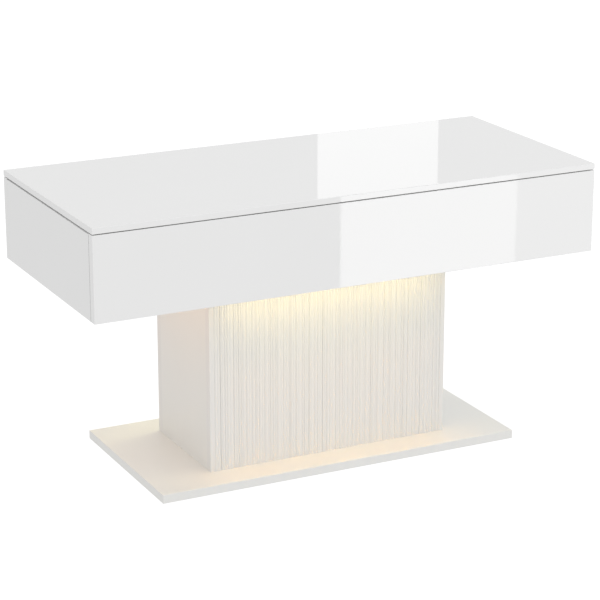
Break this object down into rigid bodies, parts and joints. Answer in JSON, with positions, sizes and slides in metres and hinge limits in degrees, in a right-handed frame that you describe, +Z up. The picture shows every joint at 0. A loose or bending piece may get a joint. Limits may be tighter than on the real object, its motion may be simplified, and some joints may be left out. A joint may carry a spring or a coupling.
{
  "type": "lift top coffee table",
  "caption": "Rectangular coffee table whose full-size top lifts forward on sprung link arms over a divided storage box, on a fluted pedestal and flat base with light lines.",
  "frame": {"origin": "centre of the footprint, on the floor", "axes": "+X along the table's length to the right seen from the front, +Y to the rear, +Z up; the lid is closed"},
  "size_m": [0.9, 0.4, 0.485],
  "materials": {
    "gloss_lacquer_board": "high-gloss white lacquer on MDF",
    "satin_lacquer_board": "satin white lacquer on MDF",
    "fluted_board": "matt white lacquer on fluted MDF",
    "melamine_board": "white melamine",
    "felt_pad": "pressed felt",
    "clear_bumper": "clear soft polyurethane",
    "zinc_fitting": "zinc plated",
    "beech_dowel": "plain beech",
    "mechanism_steel": "grey powder coat",
    "bright_steel_pin": "turned steel",
    "nylon_washer": "natural nylon",
    "spring_steel": "oiled spring wire",
    "anodised_aluminium": "satin anodised",
    "led_tape": "white flexible circuit",
    "opal_diffuser": "opal polycarbonate",
    "white_plastic": "fine texture",
    "soft_rubber": "soft white rubber",
    "white_lead": "white PVC",
    "black_plastic": "moulded black"
  },
  "bodies": {
    "cabinet": {"base_plate": "satin_lacquer_board", "glide_pads": "felt_pad", "pedestal_left_side": "satin_lacquer_board", "pedestal_right_side": "satin_lacquer_board", "pedestal_centre_upright": "melamine_board", "fluted_front_panel": "fluted_board", "fluted_rear_panel": "fluted_board", "box_bottom_panel": "melamine_board", "box_front_panel": "gloss_lacquer_board", "box_rear_panel": "gloss_lacquer_board", "box_right_end": "gloss_lacquer_board", "box_left_end": "gloss_lacquer_board", "right_divider": "melamine_board", "left_divider": "melamine_board", "lid_bumpers": "clear_bumper", "cam_locks": "zinc_fitting", "cam_bolts": "zinc_fitting", "wooden_dowels": "beech_dowel", "base_screws": "zinc_fitting", "box_screws": "zinc_fitting", "right_base_bracket": "mechanism_steel", "left_base_bracket": "mechanism_steel", "base_bracket_screws": "zinc_fitting", "base_pivot_pins": "bright_steel_pin", "base_pivot_washers": "nylon_washer", "link_stop_pins": "bright_steel_pin", "spring_anchors": "bright_steel_pin", "right_spring": "spring_steel", "left_spring": "spring_steel", "front_led_channel": "anodised_aluminium", "rear_led_channel": "anodised_aluminium", "front_led_strip": "led_tape", "rear_led_strip": "led_tape", "front_led_diffuser": "opal_diffuser", "rear_led_diffuser": "opal_diffuser", "led_channel_end_caps": "white_plastic", "lead_grommets": "soft_rubber", "led_controller": "white_plastic", "front_led_lead": "white_lead", "rear_led_lead": "white_lead", "switch_lead": "white_lead", "supply_lead": "white_lead", "cable_clips": "white_plastic", "led_switch_housing": "white_plastic", "dc_inlet": "black_plastic", "dc_inlet_nut": "zinc_fitting"},
    "left_front_link": {"left_front_link": "mechanism_steel", "left_spring_stud": "bright_steel_pin"},
    "right_front_link": {"right_front_link": "mechanism_steel", "right_spring_stud": "bright_steel_pin"},
    "left_rear_link": {"left_rear_link": "mechanism_steel"},
    "right_rear_link": {"right_rear_link": "mechanism_steel"},
    "lid": {"lid_panel": "gloss_lacquer_board", "right_top_bracket": "mechanism_steel", "left_top_bracket": "mechanism_steel", "top_pivot_pins": "bright_steel_pin", "top_pivot_washers": "nylon_washer", "top_bracket_screws": "zinc_fitting"},
    "switch_button": {"led_switch_button": "white_plastic"}
  },
  "joints": [
    {"name": "lift", "type": "hinge", "parent": "cabinet", "child": "left_front_link", "pos_m": [-0.4295, -0.15, 0.432], "axis": [1, 0, 0], "range_deg": [0, 92], "deforming": ["left_spring", "right_spring"]},
    {"name": "lid_level", "type": "hinge", "parent": "left_front_link", "child": "lid", "pos_m": [-0.4295, 0.02825, 0.45705], "axis": [1, 0, 0], "range_deg": [-92, 0]},
    {"name": "right_front_swing", "type": "hinge", "parent": "cabinet", "child": "right_front_link", "pos_m": [0.4295, -0.15, 0.432], "axis": [1, 0, 0], "range_deg": [0, 92]},
    {"name": "left_rear_swing", "type": "hinge", "parent": "cabinet", "child": "left_rear_link", "pos_m": [-0.4295, -0.08, 0.402], "axis": [1, 0, 0], "range_deg": [0, 92]},
    {"name": "right_rear_swing", "type": "hinge", "parent": "cabinet", "child": "right_rear_link", "pos_m": [0.4295, -0.08, 0.402], "axis": [1, 0, 0], "range_deg": [0, 92]},
    {"name": "switch_press", "type": "slide", "parent": "cabinet", "child": "switch_button", "axis": [0, 0, 1], "range_m": [0, 0.0015], "stiffness_N_per_m": 1500}
  ],
  "couplings": [
    {"joint": "lid_level", "follows": "lift", "ratio": -1},
    {"joint": "right_front_swing", "follows": "lift", "ratio": 1},
    {"joint": "left_rear_swing", "follows": "lift", "ratio": 1},
    {"joint": "right_rear_swing", "follows": "lift", "ratio": 1}
  ]
}
